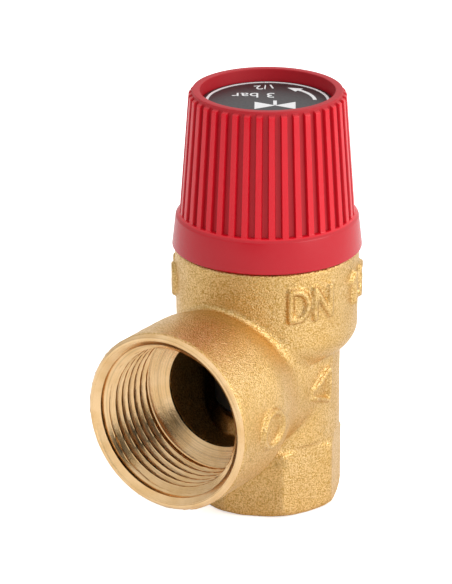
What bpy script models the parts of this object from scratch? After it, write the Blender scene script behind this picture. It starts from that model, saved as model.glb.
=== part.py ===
"""Pressure relief valve for heating systems: a diaphragm safety valve with a test cap.

A spring-loaded diaphragm valve with a 1/2 inch female inlet below and a 3/4 inch female outlet at
the side. Metres, +Z up along the spindle, origin at the middle of the inlet's end face, outlet
towards -Y. Each function below makes one piece of the valve.
"""

import math

import bmesh
import bpy
from mathutils import Matrix, Vector

MM = 0.001
GAP = 0.3 * MM  # running and assembly gap between neighbouring pieces

# --- driving dimensions -------------------------------------------------------------------------
TOTAL_HEIGHT = 72.1 * MM
OUTLET_REACH = 31.6 * MM  # spindle axis to the outlet's end face
OUTLET_HEIGHT = 23.0 * MM  # inlet's end face to the outlet's axis

# Standard pipe threads, crest (minor) and root (major) radii of the internal thread.
INLET_MINOR_R = 18.631 / 2 * MM  # 1/2 inch
INLET_MAJOR_R = 20.955 / 2 * MM
OUTLET_MINOR_R = 24.117 / 2 * MM  # 3/4 inch

# Body, outside
NECK_R = 12.4 * MM
FLATS_APOTHEM = 12.1 * MM  # half of the distance across the wrench flats
FLATS_TOP = 12.2 * MM
FLATS_SPARE = 0.05 * MM  # the blank stands this far outside the corners before they are cut
FOOT_EDGE = 1.6 * MM  # rounding of the lower end
COLLAR_R = 15.3 * MM
COLLAR_TOP_R = 15.55 * MM  # the forging's draft widens it upwards
COLLAR_FROM = 27.4 * MM
COLLAR_FULL = 31.2 * MM
COLLAR_FULLNESS = 1.25  # power of the rounding under the collar; 1 is a plain ellipse
BODY_TOP = 44.7 * MM
BOSS_R = 15.3 * MM
BOSS_ROOT_R = 12.6 * MM
BOSS_FLARE_FROM = 9.0 * MM  # the flare, as distances from the spindle axis
BOSS_FLARE_TO = 20.0 * MM
BOSS_EDGE = 0.58 * MM

# Body, inside
SEAT_Z = 16.0 * MM
SEAT_BORE_R = 6.5 * MM
SEAT_LIP_R = 7.4 * MM
SEAT_LIP = 0.6 * MM
NOZZLE_R = 8.6 * MM
NOZZLE_ROOT_R = 10.2 * MM
NOZZLE_BURIED = 0.4 * MM  # the nozzle's helper starts this far inside the chamber's floor
CHAMBER_R = 10.4 * MM
CHAMBER_FLOOR = 12.0 * MM
CHAMBER_UPPER_R = 11.4 * MM
CHAMBER_UPPER_FROM = 33.0 * MM
LEDGE_Z = 38.0 * MM  # the diaphragm's rim is clamped on this ledge
SOCKET_R = 13.3 * MM  # the bonnet screws in here
INLET_DEPTH = 10.2 * MM
OUTLET_BORE_END = 17.2 * MM  # distance from the spindle axis where the outlet's bore ends
OUTLET_CONE_END = 15.7 * MM  # and where the cone behind it ends
OUTLET_PASSAGE_R = 9.5 * MM
OUTLET_PASSAGE_END = 2.0 * MM
MOUTH_CHAMFER_R = 14.16 * MM
LEAD_IN_R = 13.3 * MM
LEAD_IN = 3.0 * MM

# Spindle group
SPINDLE_R = 2.5 * MM
PLUG_R = 8.8 * MM
PLUG_TOP = 36.0 * MM
SEAL_T = 2.2 * MM
SPRING_R = 7.4 * MM  # middle of the wire
WIRE_R = 1.0 * MM
SPRING_TURNS = 5.5

# Bonnet, cams and cap
BONNET_R = 10.4 * MM
BONNET_BORE_R = 9.1 * MM
BONNET_TOP = 62.0 * MM
CAM_COUNT = 4
CAM_PITCH_RISE = 2.4 * MM  # rise of one whole ramp, over 90 degrees
CAM_BACKLASH = math.radians(3.0)
FLANGE_R = 16.0 * MM
FLANGE_TOP_R = 15.4 * MM
FLANGE_Z = 45.0 * MM
FLANGE_TOP = 50.3 * MM
LEDGE_TOP = 50.9 * MM
GRIP_R_LOW = 14.05 * MM  # floor of the grooves between the ribs
GRIP_R_HIGH = 12.55 * MM
GRIP_TOP = 71.3 * MM
RIB_COUNT = 40
RIB_PHASE = math.radians(-0.9)
RIB_HEIGHT = 0.65 * MM
RIM_R = 12.6 * MM
RECESS_R = 11.3 * MM
RECESS_FLOOR = 69.4 * MM
DECK_T = 1.1 * MM
HUB_R = 7.0 * MM
POCKET_R = 6.0 * MM
HUB_LEDGE_Z = 62.4 * MM

STEPS = 64  # facets round the body's turned faces
INNER_STEPS = 36  # facets round the small inner pieces


# --- helpers ------------------------------------------------------------------------------------
def clear_scene():
    """Removes the objects of the scene that the script starts in."""
    for obj in list(bpy.data.objects):
        bpy.data.objects.remove(obj, do_unlink=True)


def new_collection(name):
    """A collection linked to the scene."""
    made = bpy.data.collections.new(name)
    bpy.context.scene.collection.children.link(made)
    return made


def finish_of(name, colour, roughness, metallic):
    """A Principled material of one colour."""
    made = bpy.data.materials.new(name)
    made.use_nodes = True
    shader = made.node_tree.nodes["Principled BSDF"]
    shader.inputs["Base Color"].default_value = (*colour, 1.0)
    shader.inputs["Roughness"].default_value = roughness
    shader.inputs["Metallic"].default_value = metallic
    return made


def link(name, mesh, where):
    """An object for a mesh, in a collection."""
    obj = bpy.data.objects.new(name, mesh)
    where.objects.link(obj)
    return obj


def turned(name, profile, where, steps=INNER_STEPS):
    """A solid of revolution about Z from a (radius, height) profile.

    The profile's points go round the section so that the outer side runs from top to bottom.
    """
    mesh = bpy.data.meshes.new(name)
    count = len(profile)
    closed = all(radius > 0 for radius, _ in profile)
    edges = [(i, (i + 1) % count) for i in range(count if closed else count - 1)]
    mesh.from_pydata([(radius, 0.0, height) for radius, height in profile], edges, [])
    obj = link(name, mesh, where)
    screw = obj.modifiers.new("turn", "SCREW")
    screw.axis = "Z"
    screw.steps = steps
    screw.render_steps = steps
    screw.use_merge_vertices = True
    screw.merge_threshold = 0.00001
    return obj


def frozen(obj):
    """Replaces an object's mesh by its evaluated one, welded and in world place."""
    bpy.context.view_layer.update()
    evaluated = obj.evaluated_get(bpy.context.evaluated_depsgraph_get())
    mesh = bpy.data.meshes.new_from_object(evaluated)
    mesh.transform(obj.matrix_world)
    work = bmesh.new()
    work.from_mesh(mesh)
    bmesh.ops.remove_doubles(work, verts=work.verts, dist=0.000002)
    work.to_mesh(mesh)
    work.free()
    obj.modifiers.clear()
    obj.data = mesh
    obj.matrix_world = Matrix.Identity(4)
    return obj


def boolean(obj, tool, operation):
    """Joins a helper to an object or cuts it away; the helper stays hidden as a wire."""
    step = obj.modifiers.new(operation.lower(), "BOOLEAN")
    step.operation = operation
    step.solver = "EXACT"
    step.object = tool
    tool.hide_render = True
    tool.display_type = "WIRE"


def cylinder(name, radius, low, high, where, facets=STEPS, top_radius=None):
    """A cylinder, prism or cone about Z between two heights."""
    mesh = bpy.data.meshes.new(name)
    work = bmesh.new()
    bmesh.ops.create_cone(work, cap_ends=True, segments=facets, radius1=radius,
                          radius2=top_radius or radius, depth=high - low,
                          matrix=Matrix.Translation((0, 0, (low + high) / 2)))
    work.to_mesh(mesh)
    work.free()
    return link(name, mesh, where)


def ring(name, inner, outer, low, high, where, edge=0.0):
    """A washer or tube about Z, with its outer edges broken by a small chamfer."""
    if edge:
        profile = [(inner, high), (outer - edge, high), (outer, high - edge),
                   (outer, low + edge), (outer - edge, low), (inner, low)]
    else:
        profile = [(inner, high), (outer, high), (outer, low), (inner, low)]
    return turned(name, profile, where)


def hexagon_nut(name, across, bore, low, high, where, cutters):
    """A hexagon nut with chamfered corners and a plain bore."""
    corner = across / 2 / math.cos(math.pi / 6)
    chamfer = corner - across / 2
    nut = turned(name, [(bore, high), (across / 2, high), (corner, high - chamfer),
                        (corner, low + chamfer), (across / 2, low), (bore, low)], where)
    prism = cylinder(name + "_flats", corner, low - MM, high + MM, cutters, 6)
    boolean(nut, prism, "INTERSECT")
    return nut


def ramp_ring(name, inner, outer, base, low, rise, start, where, steps=7):
    """A ring whose end face is a set of equal helical ramps, each ending in an upright step.

    The ramps climb in the sense of a positive turn about Z. The flat end is at the height base;
    the ramps start at the height low and climb by rise.
    """
    work = bmesh.new()
    columns = []
    for cam in range(CAM_COUNT):
        for step in range(steps + 1):
            angle = start + (cam + step / steps) * 2 * math.pi / CAM_COUNT
            out = Vector((math.cos(angle), math.sin(angle), 0))
            height = low + rise * step / steps
            flat = columns[-1][:2] if step == 0 and columns else None
            if cam == CAM_COUNT - 1 and step == steps:
                flat = columns[0][:2]
            if flat is None:
                flat = tuple(work.verts.new(out * r + Vector((0, 0, base))) for r in (inner, outer))
            ramp = tuple(work.verts.new(out * r + Vector((0, 0, height))) for r in (inner, outer))
            columns.append((*flat, *ramp))
    total = len(columns)
    for index in range(total):
        here, there = columns[index], columns[(index + 1) % total]
        if index % (steps + 1) == steps:
            work.faces.new((here[2], here[3], there[3], there[2]))  # the upright step
            continue
        work.faces.new((here[0], here[1], there[1], there[0]))
        work.faces.new((here[2], there[2], there[3], here[3]))
        after = columns[(index + 2) % total]
        before = columns[index - 1]
        ends_high = (index + 1) % (steps + 1) == steps
        starts_low = index % (steps + 1) == 0
        for flat, ramp in ((0, 2), (1, 3)):
            # The wall beside a step also takes in the corner of its neighbour, so it stays closed.
            wall = [here[flat], there[flat]]
            if ends_high and (after[ramp].co.z - base) * (there[ramp].co.z - base) > 0 \
                    and abs(after[ramp].co.z - base) < abs(there[ramp].co.z - base):
                wall.append(after[ramp])
            wall.append(there[ramp])
            wall.append(here[ramp])
            if starts_low and abs(before[ramp].co.z - base) < abs(here[ramp].co.z - base):
                wall.append(before[ramp])
            work.faces.new(wall)
    bmesh.ops.recalc_face_normals(work, faces=work.faces)
    mesh = bpy.data.meshes.new(name)
    work.to_mesh(mesh)
    work.free()
    return link(name, mesh, where)


def shade(obj):
    """Smooth shading on the round faces, sharp at edges above 30 degrees."""
    frozen(obj)
    obj.data.shade_smooth()
    obj.data.set_sharp_from_angle(angle=math.radians(30))


def fuller(value, power):
    """A sine or cosine raised to a power with its sign kept, as in a superellipse."""
    return math.copysign(abs(value) ** power, value)


def quarter(centre_r, centre_z, radius_r, radius_z, first, last, count=5, power=1.0):
    """Points of an elliptical arc in a profile, by its centre, half axes and end angles."""
    angles = [math.radians(first + (last - first) * i / count) for i in range(count + 1)]
    return [(centre_r + radius_r * fuller(math.cos(angle), power),
             centre_z + radius_z * fuller(math.sin(angle), power)) for angle in angles]


# --- the body -----------------------------------------------------------------------------------
def boss_radius(reach):
    """Radius of the outlet boss at a distance from the spindle axis: a smooth flare."""
    share = (reach - BOSS_FLARE_FROM) / (BOSS_FLARE_TO - BOSS_FLARE_FROM)
    share = min(max(share, 0.0), 1.0)
    return BOSS_ROOT_R + (BOSS_R - BOSS_ROOT_R) * (0.5 - 0.5 * math.cos(math.pi * share))


def towards_outlet(obj):
    """Turns a piece made along +Z from the origin so that it points out of the outlet."""
    turn = Matrix.Rotation(math.pi / 2, 4, "X")
    obj.matrix_world = Matrix.Translation((0, 0, OUTLET_HEIGHT)) @ turn
    return frozen(obj)


def make_body(parts, cutters):
    """The forged brass body: neck, collar, wrench flats and outlet boss, then its bores."""
    collar_arc = quarter(NECK_R, COLLAR_FULL, COLLAR_R - NECK_R, COLLAR_FULL - COLLAR_FROM, 0, -90,
                         6, COLLAR_FULLNESS)
    corner = FLATS_APOTHEM / math.cos(math.pi / 8)
    foot = quarter(corner + FLATS_SPARE - FOOT_EDGE, FOOT_EDGE, FOOT_EDGE, FOOT_EDGE, 0, -90, 4)
    body = turned("valve_body", [(0, BODY_TOP), (COLLAR_TOP_R, BODY_TOP)] + collar_arc
                  + [(NECK_R, FLATS_TOP - GAP), (corner + FLATS_SPARE, FLATS_TOP - MM)]
                  + foot + [(0, 0)], parts, STEPS)

    outside = cylinder("outside_of_flats", FLATS_APOTHEM * 1.5, -MM, FLATS_TOP, cutters)
    prism = cylinder("wrench_flats", corner, -2 * MM, FLATS_TOP + MM, cutters, 8)
    boolean(outside, prism, "DIFFERENCE")
    boolean(body, frozen(outside), "DIFFERENCE")

    flare = [BOSS_FLARE_FROM + (BOSS_FLARE_TO - BOSS_FLARE_FROM) * i / 7 for i in range(8)]
    boss = turned("outlet_boss", [(0, OUTLET_REACH), (BOSS_R - BOSS_EDGE, OUTLET_REACH),
                                  (BOSS_R, OUTLET_REACH - BOSS_EDGE)]
                  + [(boss_radius(reach), reach) for reach in reversed(flare)]
                  + [(BOSS_ROOT_R, -MM), (0, -MM)], cutters, STEPS)
    boolean(body, towards_outlet(boss), "UNION")

    chamber = turned("chamber", [
        (0, BODY_TOP + MM), (SOCKET_R, BODY_TOP + MM), (SOCKET_R, LEDGE_Z),
        (CHAMBER_UPPER_R, LEDGE_Z), (CHAMBER_UPPER_R, CHAMBER_UPPER_FROM + MM),
        (CHAMBER_R, CHAMBER_UPPER_FROM), (CHAMBER_R, CHAMBER_FLOOR), (0, CHAMBER_FLOOR)],
        cutters, 48)
    boolean(body, frozen(chamber), "DIFFERENCE")

    chamfer = MOUTH_CHAMFER_R - LEAD_IN_R
    outlet = turned("outlet_bore", [
        (0, OUTLET_REACH + MM), (MOUTH_CHAMFER_R, OUTLET_REACH + MM),
        (MOUTH_CHAMFER_R, OUTLET_REACH), (LEAD_IN_R, OUTLET_REACH - chamfer),
        (LEAD_IN_R, OUTLET_REACH - LEAD_IN), (OUTLET_MINOR_R, OUTLET_REACH - LEAD_IN - MM),
        (OUTLET_MINOR_R, OUTLET_BORE_END), (OUTLET_PASSAGE_R, OUTLET_CONE_END),
        (OUTLET_PASSAGE_R, OUTLET_PASSAGE_END), (0, OUTLET_PASSAGE_END)], cutters, 56)
    boolean(body, towards_outlet(outlet), "DIFFERENCE")

    nozzle = cylinder("nozzle", NOZZLE_ROOT_R, CHAMBER_FLOOR - NOZZLE_BURIED, SEAT_Z - SEAT_LIP,
                      cutters, top_radius=NOZZLE_R)
    boolean(body, nozzle, "UNION")
    lip = cylinder("seat_lip", SEAT_LIP_R, INLET_DEPTH + 0.6 * MM, SEAT_Z, cutters, 48)
    boolean(body, lip, "UNION")

    inlet = turned("inlet_bore", [
        (0, SEAT_Z + MM), (SEAT_BORE_R, SEAT_Z + MM), (SEAT_BORE_R, INLET_DEPTH + MM),
        (INLET_MINOR_R, INLET_DEPTH), (INLET_MINOR_R, 1.4 * MM), (INLET_MAJOR_R, 0.3 * MM),
        (INLET_MAJOR_R, -MM), (0, -MM)], cutters, 40)
    boolean(body, frozen(inlet), "DIFFERENCE")
    return body


# --- the diaphragm's clamping -------------------------------------------------------------------
def make_diaphragm(parts):
    """A rubber diaphragm: a flat rim, one rolled convolution and a flat middle with a hole."""
    thick = 1.2 * MM
    rim = LEDGE_Z + GAP
    arch = [(SOCKET_R - GAP, 0), (11.0 * MM, 0), (10.5 * MM, -0.5 * MM), (9.9 * MM, -1.2 * MM),
            (9.2 * MM, -1.2 * MM), (8.7 * MM, -0.8 * MM), (SPINDLE_R + GAP, -0.8 * MM)]
    upper = [(radius, rim + thick + drop) for radius, drop in reversed(arch)]
    lower = [(radius, rim + drop) for radius, drop in arch]
    return turned("diaphragm", upper + lower, parts)


def make_bonnet(parts, cutters):
    """The spring housing: a threaded skirt, a plain tube and the ramps on its upper end."""
    skirt_low = LEDGE_Z + 2.8 * MM
    skirt_r = SOCKET_R - GAP
    bonnet = turned("bonnet", [
        (BONNET_BORE_R, BONNET_TOP), (BONNET_R, BONNET_TOP), (BONNET_R, BODY_TOP + 1.5 * MM),
        (BONNET_R + MM, BODY_TOP - GAP), (skirt_r, BODY_TOP - GAP), (skirt_r, skirt_low),
        (BONNET_BORE_R, skirt_low)], parts)
    ramps = ramp_ring("bonnet_ramps", BONNET_BORE_R + 0.15 * MM, BONNET_R - 0.15 * MM,
                      BONNET_TOP - MM, BONNET_TOP, CAM_PITCH_RISE, 0.0, cutters)
    boolean(bonnet, ramps, "UNION")
    return bonnet


# --- the spindle group --------------------------------------------------------------------------
def make_disc_holder(parts):
    """The black holder: a cup for the rubber disc below, a waist and a flat top."""
    seal_low = SEAT_Z + GAP
    cup = seal_low + SEAL_T + GAP
    return turned("disc_holder", [
        (SPINDLE_R + GAP, PLUG_TOP), (6.4 * MM, PLUG_TOP), (6.4 * MM, PLUG_TOP - 3 * MM),
        (PLUG_R - 0.5 * MM, 28.0 * MM), (PLUG_R, 27.0 * MM), (PLUG_R, seal_low + MM),
        (PLUG_R - 0.4 * MM, seal_low + 0.6 * MM), (PLUG_R - 0.7 * MM, seal_low + 0.6 * MM),
        (PLUG_R - 0.7 * MM, cup), (1.9 * MM, cup), (1.9 * MM, 24.0 * MM),
        (SPINDLE_R + GAP, 24.0 * MM)], parts)


def make_spindle(parts):
    """The rod from the disc holder to the cap's hub, with a chamfer at both ends."""
    low, high = 24.3 * MM, 66.8 * MM
    edge = 0.4 * MM
    return turned("spindle", [(0, high), (SPINDLE_R - edge, high), (SPINDLE_R, high - edge),
                              (SPINDLE_R, low + edge), (SPINDLE_R - edge, low), (0, low)], parts, 24)


def make_seal_screw(parts, cutters):
    """A pan-head screw with a straight slot, which holds the rubber disc from below."""
    head_top = SEAT_Z - MM
    head_r = 3.2 * MM
    shank_r = 1.6 * MM
    screw = turned("seal_screw", [
        (0, 23.7 * MM), (shank_r - 0.3 * MM, 23.7 * MM), (shank_r, 23.4 * MM), (shank_r, head_top),
        (head_r, head_top), (head_r, head_top - 0.9 * MM), (head_r - 0.5 * MM, head_top - 1.5 * MM),
        (0, head_top - 1.6 * MM)], parts, 24)
    slot = bpy.data.meshes.new("screw_slot")
    work = bmesh.new()
    bmesh.ops.create_cube(work, size=1.0)
    bmesh.ops.scale(work, vec=(10 * MM, 0.8 * MM, 1.6 * MM), verts=work.verts)
    bmesh.ops.translate(work, vec=(0, 0, head_top - 1.7 * MM), verts=work.verts)
    work.to_mesh(slot)
    work.free()
    boolean(screw, link("screw_slot", slot, cutters), "DIFFERENCE")
    return screw


def make_lower_plate(parts):
    """The plate under the spring, with a boss that centres the coil."""
    low = LEDGE_Z + 1.0 * MM
    return turned("lower_spring_plate", [
        (SPINDLE_R + GAP, low + 4.5 * MM), (5.1 * MM, low + 4.5 * MM), (5.7 * MM, low + 3.9 * MM),
        (5.7 * MM, low + 1.5 * MM), (8.8 * MM, low + 1.5 * MM), (8.8 * MM, low + 0.4 * MM),
        (8.3 * MM, low), (SPINDLE_R + GAP, low)], parts)


def make_spring(parts, low, high):
    """A compression spring: one coil line whose pitch closes up towards both ends."""
    turns, per_turn = SPRING_TURNS, 12
    points = int(turns * per_turn) + 1
    curve = bpy.data.curves.new("spring_wire", "CURVE")
    curve.dimensions = "3D"
    curve.bevel_depth = WIRE_R
    curve.bevel_resolution = 2
    curve.use_fill_caps = True
    line = curve.splines.new("POLY")
    line.points.add(points - 1)
    bottom, top = low + WIRE_R, high - WIRE_R
    for index in range(points):
        share = index / (points - 1)
        angle = share * turns * 2 * math.pi
        climb = share - math.sin(2 * math.pi * share) * 0.25 / (2 * math.pi) * 0.8
        line.points[index].co = (SPRING_R * math.cos(angle), SPRING_R * math.sin(angle),
                                 bottom + (top - bottom) * climb, 1)
    wire = bpy.data.objects.new("spring_wire", curve)
    parts.objects.link(wire)
    bpy.context.view_layer.update()
    mesh = bpy.data.meshes.new_from_object(
        wire.evaluated_get(bpy.context.evaluated_depsgraph_get()))
    work = bmesh.new()
    work.from_mesh(mesh)
    bmesh.ops.remove_doubles(work, verts=work.verts, dist=0.000002)
    work.to_mesh(mesh)
    work.free()
    spring = link("spring", mesh, parts)
    spring.matrix_world = wire.matrix_world
    bpy.data.objects.remove(wire, do_unlink=True)
    return spring


def make_adjusting_screw(parts, cutters):
    """The threaded ring above the spring, with a hexagon socket for the setting key."""
    low, high = 57.5 * MM, 61.5 * MM
    rim = BONNET_BORE_R - GAP
    screw = turned("adjusting_screw", [
        (3.0 * MM, high), (rim - 0.4 * MM, high), (rim, high - 0.4 * MM), (rim, low + 0.4 * MM),
        (rim - 0.4 * MM, low), (3.0 * MM, low)], parts)
    socket = cylinder("key_socket", 5.6 * MM, high - 2.2 * MM, high + MM, cutters, 6)
    boolean(screw, socket, "DIFFERENCE")
    return screw


# --- the test cap -------------------------------------------------------------------------------
def rib_boxes(cutters):
    """Forty straight ribs that lean with the cap's taper, each with a sloped upper end."""
    work = bmesh.new()
    width = math.pi * (GRIP_R_LOW + GRIP_R_HIGH) / RIB_COUNT * 0.5
    root = 0.5 * MM
    low = (GRIP_R_LOW, LEDGE_TOP - 0.3 * MM)
    high = (GRIP_R_HIGH, GRIP_TOP)
    narrow = GRIP_R_HIGH / GRIP_R_LOW
    for index in range(RIB_COUNT):
        turn = Matrix.Rotation(RIB_PHASE + 2 * math.pi * index / RIB_COUNT, 4, "Z")
        corners = []
        for (radius, height), share in ((low, 1.0), (high, narrow)):
            half = width * share / 2
            tip = height + (0.0 if share == 1.0 else 0.55 * MM)
            for out, z in ((radius - root, tip), (radius + RIB_HEIGHT, height)):
                for side in (-half, half):
                    corners.append(work.verts.new(turn @ Vector((out, side, z))))
        a, b, c, d, e, f, g, h = corners
        for face in ((a, c, d, b), (e, f, h, g), (a, b, f, e), (c, g, h, d), (a, e, g, c),
                     (b, d, h, f)):
            work.faces.new(face)
    bmesh.ops.recalc_face_normals(work, faces=work.faces)
    mesh = bpy.data.meshes.new("cap_ribs")
    work.to_mesh(mesh)
    work.free()
    return link("cap_ribs", mesh, cutters)


def make_cap(parts, cutters):
    """The moulded test cap: rim, ribbed grip, flange, label recess, hub and cams inside."""
    deck_low = RECESS_FLOOR - DECK_T
    wall = 1.5 * MM
    cap = turned("cap", [
        (POCKET_R, RECESS_FLOOR), (RECESS_R, RECESS_FLOOR), (RECESS_R, TOTAL_HEIGHT - 0.2 * MM),
        (RECESS_R + 0.2 * MM, TOTAL_HEIGHT), (RIM_R - 0.3 * MM, TOTAL_HEIGHT),
        (RIM_R, TOTAL_HEIGHT - 0.3 * MM), (GRIP_R_HIGH, GRIP_TOP),
        (GRIP_R_LOW, LEDGE_TOP), (GRIP_R_LOW + RIB_HEIGHT, LEDGE_TOP - 0.1 * MM),
        (FLANGE_TOP_R, FLANGE_TOP), (FLANGE_R, FLANGE_Z + 0.2 * MM), (FLANGE_R - 0.2 * MM, FLANGE_Z),
        (13.6 * MM, FLANGE_Z), (13.6 * MM, FLANGE_TOP - MM), (GRIP_R_LOW - wall, FLANGE_TOP + MM),
        (GRIP_R_HIGH - wall, deck_low), (HUB_R, deck_low), (HUB_R, HUB_LEDGE_Z),
        (SPINDLE_R + 0.5 * MM, HUB_LEDGE_Z), (SPINDLE_R + 0.5 * MM, HUB_LEDGE_Z + MM),
        (POCKET_R, HUB_LEDGE_Z + MM)], parts, 60)
    boolean(cap, rib_boxes(cutters), "UNION")
    cams = ramp_ring("cap_ramps", BONNET_BORE_R + 0.1 * MM, BONNET_R - 0.1 * MM,
                     RECESS_FLOOR - DECK_T / 2, BONNET_TOP + GAP + CAM_PITCH_RISE * 0.035,
                     CAM_PITCH_RISE, CAM_BACKLASH, cutters)
    boolean(cap, cams, "UNION")
    return cap


def build():
    """Makes every piece, gives it its finish and places it."""
    clear_scene()
    parts = new_collection("pressure_relief_valve")
    cutters = new_collection("cutters")

    brass = finish_of("forged_brass", (0.72, 0.50, 0.24), 0.35, 1.0)
    turned_brass = finish_of("turned_brass", (0.80, 0.60, 0.32), 0.22, 1.0)
    nylon = finish_of("glass_filled_nylon", (0.03, 0.03, 0.03), 0.6, 0.0)
    rubber = finish_of("epdm_rubber", (0.02, 0.02, 0.02), 0.75, 0.0)
    steel = finish_of("spring_steel", (0.45, 0.46, 0.48), 0.3, 1.0)
    red = finish_of("red_plastic", (0.60, 0.01, 0.02), 0.4, 0.0)
    label = finish_of("printed_label", (0.02, 0.02, 0.02), 0.4, 0.0)

    seal_low = SEAT_Z + GAP
    spring_low, spring_high = LEDGE_Z + 2.8 * MM, 56.0 * MM
    made = {
        make_body(parts, cutters): brass,
        make_diaphragm(parts): rubber,
        ring("slip_ring", 9.8 * MM, 12.9 * MM, LEDGE_Z + 1.8 * MM, LEDGE_Z + 2.5 * MM, parts): steel,
        make_bonnet(parts, cutters): nylon,
        ring("diaphragm_plate", SPINDLE_R + GAP, 8.0 * MM, PLUG_TOP + GAP, LEDGE_Z - 0.8 * MM,
             parts, 0.2 * MM): turned_brass,
        make_disc_holder(parts): nylon,
        ring("seal_disc", 2.1 * MM, PLUG_R - MM, seal_low, seal_low + SEAL_T, parts): rubber,
        ring("seal_washer", 1.9 * MM, 5.2 * MM, SEAT_Z - 0.7 * MM, SEAT_Z, parts,
             0.15 * MM): turned_brass,
        make_seal_screw(parts, cutters): steel,
        make_spindle(parts): turned_brass,
        make_lower_plate(parts): turned_brass,
        ring("lock_washer", SPINDLE_R + GAP, 4.6 * MM, 43.8 * MM, 44.6 * MM, parts,
             0.1 * MM): steel,
        hexagon_nut("spindle_nut", 8 * MM, SPINDLE_R + GAP, 44.9 * MM, 47.4 * MM, parts,
                    cutters): turned_brass,
        make_spring(parts, spring_low, spring_high): steel,
        ring("upper_spring_plate", 3.2 * MM, 8.6 * MM, 56.3 * MM, 57.2 * MM, parts,
             0.2 * MM): turned_brass,
        make_adjusting_screw(parts, cutters): turned_brass,
        ring("lift_washer", SPINDLE_R + GAP, 5.0 * MM, HUB_LEDGE_Z + 1.3 * MM,
             HUB_LEDGE_Z + 1.9 * MM, parts, 0.1 * MM): steel,
        hexagon_nut("lift_nut", 8 * MM, SPINDLE_R + GAP, HUB_LEDGE_Z + 2.2 * MM,
                    HUB_LEDGE_Z + 4.2 * MM, parts, cutters): turned_brass,
        make_cap(parts, cutters): red,
        turned("label_disc", [(0, 70.05 * MM), (RECESS_R - 0.4 * MM, 70.05 * MM),
                              (RECESS_R - GAP, 69.95 * MM), (RECESS_R - GAP, RECESS_FLOOR + GAP),
                              (0, RECESS_FLOOR + GAP)], parts): label,
    }
    for obj, finish in made.items():
        shade(obj)
        obj.data.materials.clear()
        obj.data.materials.append(finish)


build()
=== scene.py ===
"""A heating system's pressure relief valve, made piece by piece in the order it is put together."""
import math

import bpy
import numpy as np
from mathutils import Matrix, Vector


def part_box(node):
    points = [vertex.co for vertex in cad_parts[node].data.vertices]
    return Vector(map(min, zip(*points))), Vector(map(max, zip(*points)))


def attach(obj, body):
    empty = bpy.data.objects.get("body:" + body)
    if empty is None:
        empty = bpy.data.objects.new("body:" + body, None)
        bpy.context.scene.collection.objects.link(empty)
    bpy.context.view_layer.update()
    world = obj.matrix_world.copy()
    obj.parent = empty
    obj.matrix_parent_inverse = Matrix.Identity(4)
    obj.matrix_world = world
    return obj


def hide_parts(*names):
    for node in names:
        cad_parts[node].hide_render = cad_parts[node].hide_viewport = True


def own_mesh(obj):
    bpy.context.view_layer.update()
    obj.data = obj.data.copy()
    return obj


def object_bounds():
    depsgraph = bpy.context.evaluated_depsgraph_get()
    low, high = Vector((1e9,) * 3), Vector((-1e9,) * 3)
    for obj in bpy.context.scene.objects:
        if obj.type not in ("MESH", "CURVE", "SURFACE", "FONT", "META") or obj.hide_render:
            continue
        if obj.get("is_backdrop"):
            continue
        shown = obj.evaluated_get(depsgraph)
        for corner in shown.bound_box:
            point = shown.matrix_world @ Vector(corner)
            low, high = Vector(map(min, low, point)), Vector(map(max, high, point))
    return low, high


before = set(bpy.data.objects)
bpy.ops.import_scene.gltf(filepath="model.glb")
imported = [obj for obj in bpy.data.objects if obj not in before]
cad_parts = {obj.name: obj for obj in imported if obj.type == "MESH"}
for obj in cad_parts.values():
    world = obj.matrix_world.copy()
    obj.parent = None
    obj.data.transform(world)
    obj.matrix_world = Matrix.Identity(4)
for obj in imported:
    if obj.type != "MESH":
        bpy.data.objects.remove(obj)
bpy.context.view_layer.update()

# ------------------------------------------------------------------------------------------------
# The body casting: forging brass, hot-forged between two dies and shot-blasted, so its skin is a
# fine pale grain with soft edges. The wrench flats, the flow arrow and the size marks are forged
# in; the two threaded bores are cut afterwards and are pieces of their own below.
# ------------------------------------------------------------------------------------------------
MM = 0.001
body_low, body_high = (Vector(corner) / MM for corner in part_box("valve_body"))
BODY_TOP = body_high.z
MOUTH = -body_low.y  # spindle axis to the outlet's end face
OUTLET_Z = 23.0  # height of the outlet's axis
NECK_R = 12.4
FLATS_APOTHEM = 12.1
FLATS_TOP = 12.2
FOOT_R = 13.15
FOOT_EDGE = 1.6
COLLAR_R = 15.3
COLLAR_TOP_R = 15.55
COLLAR_FROM = 27.4
COLLAR_FULL = 31.2
COLLAR_FULLNESS = 1.25
BOSS_R = 15.3
BOSS_ROOT_R = 12.6
FLARE_FROM = 9.0  # the boss widens between these distances from the spindle axis
FLARE_TO = 20.0
MOUTH_EDGE = 0.58
LINER_SEAT_R = 13.6  # the forging stops here and the machined outlet goes on inwards
OUTLET_DEPTH_AT = 15.7  # the machined cone's inner end, from the spindle axis
PASSAGE_R = 9.5
NOZZLE_TOP_R = 8.3
NOZZLE_ROOT_R = 10.2
NOZZLE_TOP = 15.4
CHAMBER_R = 10.4
CHAMBER_UPPER_R = 11.4
CHAMBER_FLOOR = 12.0
SOCKET_R = 13.3  # the bonnet screws in here
LEDGE_Z = 38.0  # and clamps the diaphragm's rim on this ledge
INLET_HOLLOW_R = 10.8  # the machined inlet is set into this hollow
FLATS_EDGE = 0.35  # rounding where the wrench flats meet the turned blank
FILLET_BELOW, FILLET_GROWTH = 0.6, 1.0  # the fillet round the boss is wider above its axis
HOLLOW_EDGE = 0.8
SKIN_WAVE, NOZZLE_WAVE = 0.045, 0.12
FAR = 40.0  # an outline reaches past the axis and past the body by this much
CELL = 0.37  # edge of one cell of the distance grid
GRID_LOW, GRID_HIGH = (-16.9, -32.3, -1.0), (16.9, 16.9, 46.0)


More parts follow.
